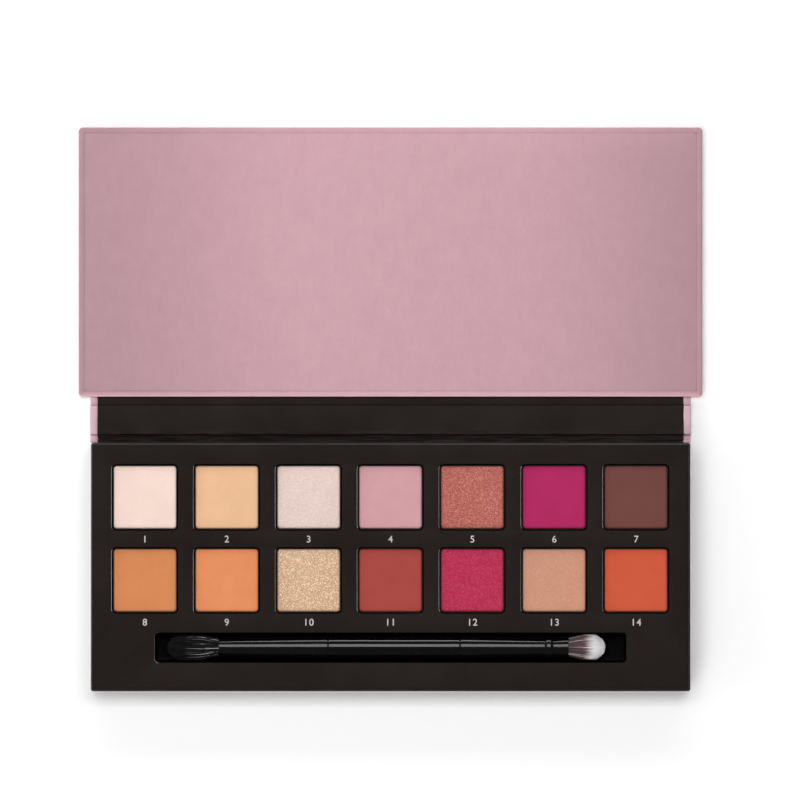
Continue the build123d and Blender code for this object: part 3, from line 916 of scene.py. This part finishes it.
def liner_piece(name, rows):
    """One half of the liner, as a closed thin sheet."""
    solid = bmesh.new()
    half = liner_right - 0.05 * MM
    tops, feet = [], []
    for y in rows:
        wander = 0.12 * MM * noise.noise(Vector((y / MM * 0.6, 9.0, 0)))
        top_row, foot_row = [], []
        for column in range(liner_columns + 1):
            x = (2 * column / liner_columns - 1) * (half - wander)
            height = liner_height(x, y)
            if column in (0, liner_columns):
                height -= 0.05 * MM
            top_row.append(solid.verts.new((x, y, height)))
            foot_row.append(solid.verts.new((x, y, height - liner_sheet)))
        tops.append(top_row)
        feet.append(foot_row)
    for row in range(len(rows) - 1):
        top, next_top, foot, next_foot = tops[row], tops[row + 1], feet[row], feet[row + 1]
        for left in range(liner_columns):
            right = left + 1
            solid.faces.new((top[left], top[right], next_top[right], next_top[left]))
            solid.faces.new((foot[left], next_foot[left], next_foot[right], foot[right]))
        for side in (0, liner_columns):
            solid.faces.new((top[side], next_top[side], next_foot[side], foot[side]))
    for top, foot in ((tops[0], feet[0]), (tops[-1], feet[-1])):
        for left in range(liner_columns):
            right = left + 1
            solid.faces.new((top[left], foot[left], foot[right], top[right]))
    return add_piece(name, solid, liner_cloth, 70)


rear_liner_rows = fold_rows([(tray_rear + 0.01 * MM, strip_front + 0.6 * MM, 32),
                             (strip_front + 0.6 * MM, strip_middle, 5)])
front_liner_rows = fold_rows([(strip_middle, strip_rear - 0.6 * MM, 5),
                              (strip_rear - 0.6 * MM, lid_front - 0.02 * MM, 16)])
for (end, first, second, fold, reach), rows in zip(folds, (rear_liner_rows, front_liner_rows)):
    liner = liner_piece("liner_" + end, rows)
    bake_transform(liner)
    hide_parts("spine_liner")

# ---------------------------------------------------------------- cover
# A thicker greyboard panel with a steel-cased magnet near each far corner. The velour wraps its
# outside and turns over its edges; a separate velour panel is glued over its inner face.
dress(greyboard, "lid_board")
lid_lining = extents("lid_lining")
cover_corner = 1.3 * MM
turn_in = lid_lining[0] - lid_left
cover_profile = [(down, out) for out, down in quarter_turn(cover_roll, 4)]
cover_profile += [(out, lid_top - down) for out, down in quarter_turn(cover_roll, 5)]
cover_profile += [(turn_in - 0.14 * MM, lid_top), (turn_in - 0.05 * MM, lid_top - 0.03 * MM),
                  (turn_in - 0.02 * MM, lid_top - 0.09 * MM),
                  (turn_in - 0.02 * MM, lid_top - cloth_thickness),
                  (cloth_thickness, lid_top - cloth_thickness), (cloth_thickness, cloth_thickness)]
cover_wrap = add_shell("cover_wrap", plan(lid_left, lid_front, lid_right, lid_rear), cover_profile,
                       lambda inset: cover_corner - min(inset, 0.9 * MM), velour, 50, (5, 10))

# The cover's own edge at the fold gets a painted highlight, paler along it.
fold_highlight_mask = cover_wrap.data.attributes.new("painted_fold_highlight", "FLOAT", "POINT")
for index, point in enumerate(cover_wrap.data.vertices):
    past_fold = ease(point.co.y, lid_front + 0.3 * MM, lid_front + 0.75 * MM)
    fold_highlight_mask.data[index].value = 0.9 * (1 - past_fold)
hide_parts("lid_cloth")
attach(cover_wrap, "lid")

lining_left, lining_front, lining_bottom, lining_right, lining_rear, lining_top = lid_lining
lining_profile = [(0.01 * MM, lining_bottom), (0.01 * MM, lining_top - 0.08 * MM),
                  (0.04 * MM, lining_top - 0.03 * MM), (0.12 * MM, lining_top)]
cover_lining = add_shell("cover_lining",
                         plan(lining_left, lining_front, lining_right, lining_rear),
                         lining_profile, lambda inset: 0.8 * MM, velour, 50, (5, 10))
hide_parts("lid_lining")
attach(cover_lining, "lid")

# ---------------------------------------------------------------- brush handle and ferrules
# A turned wooden handle in glossy black lacquer, glued with a tenon into a black tube at each
# end. The left tube is plain; the right one is crimped behind its flared mouth.
axis_y = trough_plan[0][1]
handle_low_x, _, handle_bottom, handle_high_x, _, handle_top = extents("brush_handle")
axis_z = (handle_bottom + handle_top) / 2
handle_radius = (handle_top - handle_bottom) / 2
left_mouth, _, _, handle_left, _, _ = extents("ferrule_left")
handle_right, _, _, right_mouth, _, _ = extents("ferrule_right")
left_mouth_radius = 3.2 * MM
right_mouth_radius = 3.6 * MM
ferrule_wall = 0.45 * MM
turn_steps = 72


def turned(name, profile, finish, tube=False):
    """A shape turned about the brush's axis from (x, radius) pairs; tube joins its two ends."""
    angles = [2 * math.pi * step / turn_steps for step in range(turn_steps)]
    solid = bmesh.new()
    skin(solid, [[Vector((x, axis_y + radius * math.cos(angle), axis_z + radius * math.sin(angle)))
                  for angle in angles] for x, radius in profile], closed_tube=tube)
    return add_piece(name, solid, finish, 30)


# Hard gloss black: faint long scratches and a little dust, so the highlights are not perfect.
gloss_group, gloss_scale, gloss_out = in_group("gloss_wear", ("Scratch", "Dust", "Height"))
gloss_long = scaled_place(gloss_group, gloss_scale, (60, 1000, 1000))
gloss_even = scaled_place(gloss_group, gloss_scale, PER_MM)
scratch = add_noise(gloss_group, gloss_long, 3.0, 3.0, 0.7)
gloss_dust = add_noise(gloss_group, gloss_even, 2.2, 2.0, 0.5)
connect(gloss_group, gloss_out, {
    "Scratch": stretch_range(gloss_group, scratch, 0.45, 0.75),
    "Dust": stretch_range(gloss_group, gloss_dust, 0.70, 0.78),
    "Height": add_noise(gloss_group, gloss_even, 0.12, 1.0, 0.5)})


def gloss_finish(name, colour, smooth, scratched, ripple_depth):
    """Glossy black with the wear above."""
    finish, tree, shader = new_finish(name, smooth, 0.5)
    wear = use_group(tree, gloss_group, 1.0)
    tone_by(tree, shader, wear["Dust"], colour, (0.05, 0.045, 0.045))
    roughen_by(tree, shader, wear["Scratch"], smooth, scratched)
    add_bump(tree, shader, wear["Height"], ripple_depth)
    return finish


lacquer = gloss_finish("black_lacquer", (0.0022, 0.002, 0.002), 0.07, 0.15, 0.02 * MM)
ferrule_black = gloss_finish("black_anodised_tube", (0.003, 0.0028, 0.0028), 0.11, 0.20, 0.02 * MM)

# Each end of the handle, from its shoulder outwards: distance past the joint, and radius there.
tenon_radius = handle_radius - 1.8 * MM
shoulder_turn = [(-0.6 * MM, handle_radius), (-0.3 * MM, handle_radius - 0.02 * MM),
                 (-0.1 * MM, handle_radius - 0.12 * MM), (-0.02 * MM, handle_radius - 0.3 * MM),
                 (0.3 * MM, tenon_radius)]
body_steps = 20
body_left = handle_left + 0.6 * MM
body_length = handle_right - handle_left - 1.2 * MM
handle_profile = [(handle_low_x + 0.3 * MM, tenon_radius)]
handle_profile += [(handle_left - past, radius) for past, radius in shoulder_turn[::-1]]
handle_profile += [(body_left + body_length * step / body_steps, handle_radius)
                   for step in range(1, body_steps)]
handle_profile += [(handle_right + past, radius) for past, radius in shoulder_turn]
handle_profile.append((handle_high_x - 0.3 * MM, tenon_radius))
handle = turned("lacquered_handle", handle_profile, lacquer)
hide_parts("brush_handle")
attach(handle, "brush")


def ferrule_profile(outer):
    """A closed tube outline: the outer skin, then back along the bore."""
    return outer + [(x, max(radius - ferrule_wall, 0.5 * MM)) for x, radius in outer[::-1]]


left_outer = [(left_mouth + past, left_mouth_radius + flare) for past, flare in (
    (0, -0.06 * MM), (0.08 * MM, 0), (0.45 * MM, 0.06 * MM), (0.8 * MM, 0.02 * MM),
    (1.1 * MM, -0.04 * MM))]
taper_steps = 12
for step in range(1, taper_steps + 1):
    share = step / taper_steps
    left_outer.append((left_mouth + 1.4 * MM + (handle_left - left_mouth - 2.0 * MM) * share,
                       left_mouth_radius + (handle_radius - left_mouth_radius) * share ** 0.8))
left_outer += [(handle_left - 0.2 * MM, handle_radius - 0.01 * MM),
               (handle_left - 0.03 * MM, handle_radius - 0.10 * MM)]
left_tube = turned("plain_ferrule", ferrule_profile(left_outer), ferrule_black, True)
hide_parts("ferrule_left")
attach(left_tube, "brush")

crimp_middle = right_mouth - 6.2 * MM
crimp_half = 1.6 * MM
crimp_radius = 3.3 * MM
bead_radius = 3.75 * MM
collar_radius = handle_radius + 0.05 * MM
crimp_foot = crimp_middle - crimp_half
flare_start = crimp_middle + crimp_half
taper_steps, bead_steps, flare_steps = 10, 12, 8
right_outer = [(handle_right + 0.03 * MM, collar_radius - 0.12 * MM),
               (handle_right + 0.22 * MM, collar_radius - 0.01 * MM)]
for step in range(taper_steps + 1):
    share = step / taper_steps
    right_outer.append((handle_right + 0.5 * MM + (crimp_foot - handle_right - 1.0 * MM) * share,
                        collar_radius + (crimp_radius - collar_radius) * share))
for step in range(bead_steps + 1):
    share = step / bead_steps
    swell = math.sin(math.pi * share) ** 1.4
    right_outer.append((crimp_foot + 2 * crimp_half * share,
                        crimp_radius + (bead_radius - crimp_radius) * swell))
for step in range(1, flare_steps + 1):
    share = step / flare_steps
    right_outer.append((flare_start + (right_mouth - 0.5 * MM - flare_start) * share,
                        crimp_radius + (right_mouth_radius - crimp_radius) * ease(share, 0, 1)))
right_outer += [(right_mouth - 0.12 * MM, right_mouth_radius),
                (right_mouth, right_mouth_radius - 0.1 * MM)]
right_tube = turned("crimped_ferrule", ferrule_profile(right_outer), ferrule_black, True)
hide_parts("ferrule_right")
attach(right_tube, "brush")

# ---------------------------------------------------------------- brush tufts
# Bundles of tapered hairs, glued into the ferrules and cut to a dome. The left tuft is black; the
# right one is plum-brown at its root and fades to white at its tips.


def hair_finish(name, root, middle, tip, pale, mouth, length, specular, fuzz):
    """Hair that changes tone from its root to its tip, each hair a little different."""
    finish, tree, shader = new_finish(name, 0.45, specular)
    connect(tree, shader, {"Sheen Weight": fuzz, "Sheen Roughness": 0.6})
    place = add_node(tree, "ShaderNodeTexCoord").outputs["Object"]
    place_x = add_node(tree, "ShaderNodeSeparateXYZ", {"Vector": place}).outputs["X"]
    along = stretch_range(tree, place_x, mouth, mouth + length)
    strand = attribute(tree, "hair_tone")
    uneven = combine(tree, "ADD", along, combine(tree, "MULTIPLY", strand, 0.16))
    toned_root = mix_colours(tree, stretch_range(tree, uneven, 0.20, 0.50), root, middle)
    toned_tip = mix_colours(tree, stretch_range(tree, uneven, 0.50, 0.72), toned_root, tip)
    below_tip = stretch_range(tree, uneven, 0.45, 0.80, 1.0, 0.0)
    # A few hairs take the pale tone below the tips: pale hairs on the plum tuft, painted glints on
    # the black one.
    pale_hairs_and_glints = stretch_range(tree, strand, 0.87, 0.93)
    tone_by(tree, shader, combine(tree, "MULTIPLY", pale_hairs_and_glints, below_tip), toned_tip, pale)
    roughen_by(tree, shader, strand, 0.50, 0.28)
    return finish


hair_steps = 7
glued_in = 1.6 * MM


def tuft(name, node, mouth, side, root_radius, finish, hairs, seed, frizz, coarseness,
         domed):
    """A domed bundle of hairs from inside a ferrule's mouth to the tuft's tip."""
    low_x, low_y, low_z, high_x, high_y, high_z = extents(node)
    reach = (high_x - mouth) if side > 0 else (mouth - low_x)
    pick = random.Random(seed)
    solid = bmesh.new()
    tone_layer = solid.verts.layers.float.new("hair_tone")
    for _ in range(hairs):
        distance = math.sqrt(pick.random())
        angle = pick.uniform(0, 2 * math.pi)
        across, up = distance * math.cos(angle), distance * math.sin(angle)
        tone = pick.random()
        dome = 1 - domed * distance ** 3
        hair_reach = reach * dome * pick.uniform(0.955, 0.995)
        thickness = pick.uniform(0.055, 0.085) * coarseness * MM
        sway = Vector((0, pick.uniform(-1, 1), pick.uniform(-1, 1))) * frizz
        curl = pick.uniform(-1, 1) * 0.6 * frizz
        kink = Vector((0, pick.uniform(-1, 1), pick.uniform(-1, 1))) * max(0.0, frizz - 0.2 * MM)
        rings = []
        for step in range(hair_steps + 1):
            share = step / hair_steps
            x = -glued_in + (hair_reach + glued_in) * share
            spread = ease(x, -0.6 * MM, reach * 0.45)
            gather = ease(x, reach * 0.70, reach)
            wide, high = (root_radius + (half * 0.95 - 0.5 * frizz - root_radius) * spread
                          - half * 0.08 * gather
                          for half in ((high_y - low_y) / 2, (high_z - low_z) / 2))
            centre = Vector((mouth + side * x, axis_y + across * wide, axis_z + up * high))
            centre += sway * share
            centre.y += curl * math.sin(math.pi * share)
            centre += kink * math.sin(3 * math.pi * share) * (1 - share)
            thin = thickness * (1 - 0.6 * share ** 4)
            rings.append([centre + Vector((0, thin * math.cos(turn), thin * math.sin(turn)))
                          for turn in (0.3, 2.394, 4.489)])
        for row in skin(solid, rings):
            for vert in row:
                vert[tone_layer] = tone
    bundle = add_piece(name, solid, finish, 80)
    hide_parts(node)
    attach(bundle, "brush")


left_reach = left_mouth - extents("bristles_left")[0]
# The black tuft's pale tone is painted glints on a few of its hairs.
black_hair = hair_finish("black_hair", (0.0022, 0.0018, 0.0018), (0.0026, 0.0022, 0.0022),
                         (0.003, 0.0026, 0.0026), (0.55, 0.54, 0.54), left_mouth, -left_reach,
                         0.06, 0.0)
tuft("black_tuft", "bristles_left", left_mouth, -1, 2.7 * MM, black_hair,
     hairs=800, seed=11, frizz=0.46 * MM, coarseness=1.25, domed=0.20)
right_reach = extents("bristles_right")[3] - right_mouth
plum_hair = hair_finish("plum_hair", (0.034, 0.008, 0.012), (0.070, 0.022, 0.029),
                        (0.98, 0.965, 0.97), (0.92, 0.84, 0.86), right_mouth, right_reach,
                        0.22, 0.5)
plum_shader = plum_hair.node_tree.nodes["Principled BSDF"]
plum_shader.inputs["Sheen Tint"].default_value = (1.0, 0.80, 0.84, 1.0)
tuft("plum_tuft", "bristles_right", right_mouth, 1, 2.85 * MM, plum_hair,
     hairs=1300, seed=12, frizz=0.16 * MM, coarseness=1.5, domed=0.26)
